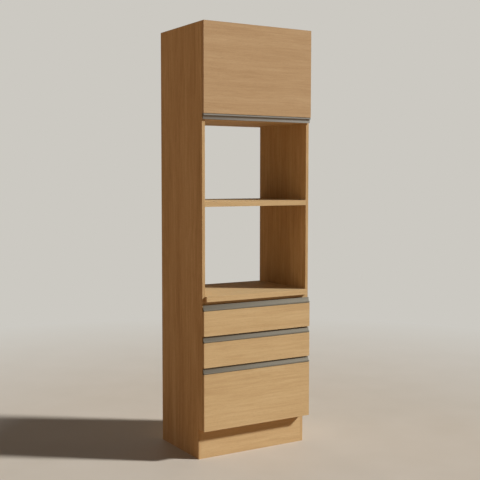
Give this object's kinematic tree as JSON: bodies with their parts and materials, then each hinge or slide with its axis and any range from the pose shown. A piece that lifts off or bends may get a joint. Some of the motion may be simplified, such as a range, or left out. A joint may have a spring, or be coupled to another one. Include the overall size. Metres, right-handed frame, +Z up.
{
  "type": "microwave cabinet",
  "caption": "Tall kitchen cabinet with a lift-up flap compartment, open niches for a microwave and an oven, and drawers with aluminium edge handles over a set-back plinth.",
  "frame": {"origin": "on the floor, at the middle of the cabinet's outline seen from above", "axes": "+Z up, +X to the right seen from the front, +Y to the back, so the fronts face -Y"},
  "size_m": [0.6, 0.44, 2.0534],
  "materials": {
    "wood_upright": "satin laminate, grain upright",
    "wood_board": "satin laminate, grain across",
    "wood_front": "satin laminate, grain across",
    "drawer_board": "matt pale laminate",
    "thin_panel": "matt pale hardboard",
    "dowel_wood": "bare beech",
    "aluminium_profile": "satin anodised",
    "zinc_steel": "zinc plated",
    "strut_paint": "black satin paint",
    "bumper_plastic": "translucent soft plastic"
  },
  "bodies": {
    "carcass": {"base_panel": "wood_board", "bumper_pads": "bumper_plastic", "cam_fittings": "zinc_steel", "dowels": "dowel_wood", "front_rail": "wood_board", "hinge_leaf_cabinet": "zinc_steel", "hinge_pin": "zinc_steel", "hinge_screws_cabinet": "zinc_steel", "lower_back_panel": "thin_panel", "niche_ceiling": "wood_board", "niche_floor": "wood_board", "niche_shelf": "wood_board", "plinth_board": "wood_board", "rear_stretcher": "wood_board", "runner_outer_low": "zinc_steel", "runner_outer_mid": "zinc_steel", "runner_outer_top": "zinc_steel", "side_panel_left": "wood_upright", "side_panel_right": "wood_upright", "strut_studs_cabinet": "zinc_steel", "top_panel": "wood_board", "upper_back_panel": "thin_panel", "wall_rail": "wood_board"},
    "flap": {"flap_handle": "aluminium_profile", "flap_panel": "wood_front", "hinge_leaf_door": "zinc_steel", "hinge_screws_door": "zinc_steel", "strut_brackets_door": "zinc_steel"},
    "strut_tubes": {"strut_cylinders": "strut_paint"},
    "strut_plungers": {"strut_rods": "zinc_steel"},
    "drawer_low": {"drawer_low_back": "drawer_board", "drawer_low_bottom": "thin_panel", "drawer_low_front": "wood_front", "drawer_low_handle": "aluminium_profile", "drawer_low_inner_front": "drawer_board", "drawer_low_screws": "zinc_steel", "drawer_low_side_left": "drawer_board", "drawer_low_side_right": "drawer_board", "runner_inner_low": "zinc_steel"},
    "runner_low": {"runner_middle_low": "zinc_steel"},
    "drawer_mid": {"drawer_mid_back": "drawer_board", "drawer_mid_bottom": "thin_panel", "drawer_mid_front": "wood_front", "drawer_mid_handle": "aluminium_profile", "drawer_mid_inner_front": "drawer_board", "drawer_mid_screws": "zinc_steel", "drawer_mid_side_left": "drawer_board", "drawer_mid_side_right": "drawer_board", "runner_inner_mid": "zinc_steel"},
    "runner_mid": {"runner_middle_mid": "zinc_steel"},
    "drawer_top": {"drawer_top_back": "drawer_board", "drawer_top_bottom": "thin_panel", "drawer_top_front": "wood_front", "drawer_top_handle": "aluminium_profile", "drawer_top_inner_front": "drawer_board", "drawer_top_screws": "zinc_steel", "drawer_top_side_left": "drawer_board", "drawer_top_side_right": "drawer_board", "runner_inner_top": "zinc_steel"},
    "runner_top": {"runner_middle_top": "zinc_steel"}
  },
  "joints": [
    {"name": "flap_swing", "type": "hinge", "parent": "carcass", "child": "flap", "pos_m": [0, -0.204, 2.0516], "axis": [-1, 0, 0], "range_deg": [0, 90]},
    {"name": "strut_tilt", "type": "hinge", "parent": "carcass", "child": "strut_tubes", "pos_m": [0, -0.144, 1.7216], "axis": [1, 0, 0], "range_deg": [0, 17.5]},
    {"name": "strut_extend", "type": "slide", "parent": "strut_tubes", "child": "strut_plungers", "axis": [0, -0.1348, 0.9909], "range_m": [0, 0.083]},
    {"name": "drawer_low_slide", "type": "slide", "parent": "carcass", "child": "drawer_low", "axis": [0, -1, 0], "range_m": [0, 0.35]},
    {"name": "runner_low_slide", "type": "slide", "parent": "carcass", "child": "runner_low", "axis": [0, -1, 0], "range_m": [0, 0.176]},
    {"name": "drawer_mid_slide", "type": "slide", "parent": "carcass", "child": "drawer_mid", "axis": [0, -1, 0], "range_m": [0, 0.35]},
    {"name": "runner_mid_slide", "type": "slide", "parent": "carcass", "child": "runner_mid", "axis": [0, -1, 0], "range_m": [0, 0.176]},
    {"name": "drawer_top_slide", "type": "slide", "parent": "carcass", "child": "drawer_top", "axis": [0, -1, 0], "range_m": [0, 0.35]},
    {"name": "runner_top_slide", "type": "slide", "parent": "carcass", "child": "runner_top", "axis": [0, -1, 0], "range_m": [0, 0.176]}
  ],
  "couplings": [
    {"joint": "strut_tilt", "follows": "flap_swing", "ratio": 0.1887},
    {"joint": "strut_extend", "follows": "flap_swing", "m_per_rad": 0.052449},
    {"joint": "runner_low_slide", "follows": "drawer_low_slide", "ratio": 0.5},
    {"joint": "runner_mid_slide", "follows": "drawer_mid_slide", "ratio": 0.5},
    {"joint": "runner_top_slide", "follows": "drawer_top_slide", "ratio": 0.5}
  ]
}
